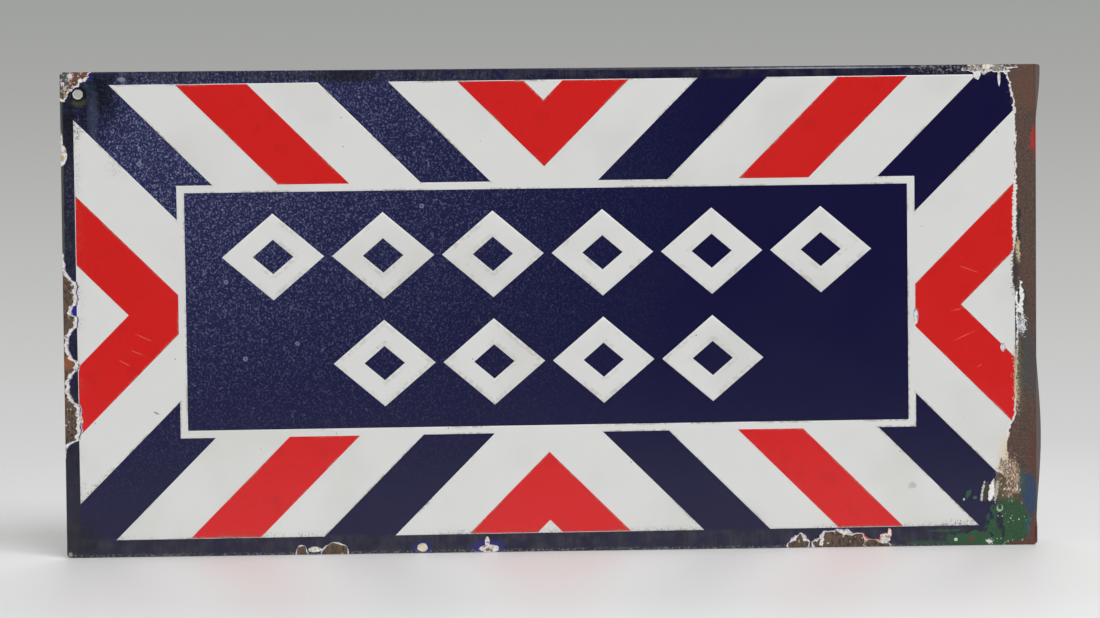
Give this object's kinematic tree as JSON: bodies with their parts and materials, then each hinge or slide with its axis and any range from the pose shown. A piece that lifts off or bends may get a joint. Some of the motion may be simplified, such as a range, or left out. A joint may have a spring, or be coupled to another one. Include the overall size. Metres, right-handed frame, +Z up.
{
  "type": "flanged enamel sign",
  "caption": "Projecting enamel sign: one folded steel sheet with a side fixing flange, raised diagonal stripes round a panel of plain lozenges on both faces, and worn, chipped edges.",
  "frame": {"origin": "middle of the flange's outer face, where the sign meets its wall or post", "axes": "+Z up, +X towards the wall along the sign's length, and the front face looks along -Y"},
  "size_m": [0.6227, 0.038, 0.3047],
  "materials": {
    "fused_enamel": "glossy fused enamel in deep navy, white and red over sheet steel, chipped to rusty steel at the edges"
  },
  "bodies": {
    "root": {"enamelled_sign": "fused_enamel"}
  },
  "joints": []
}
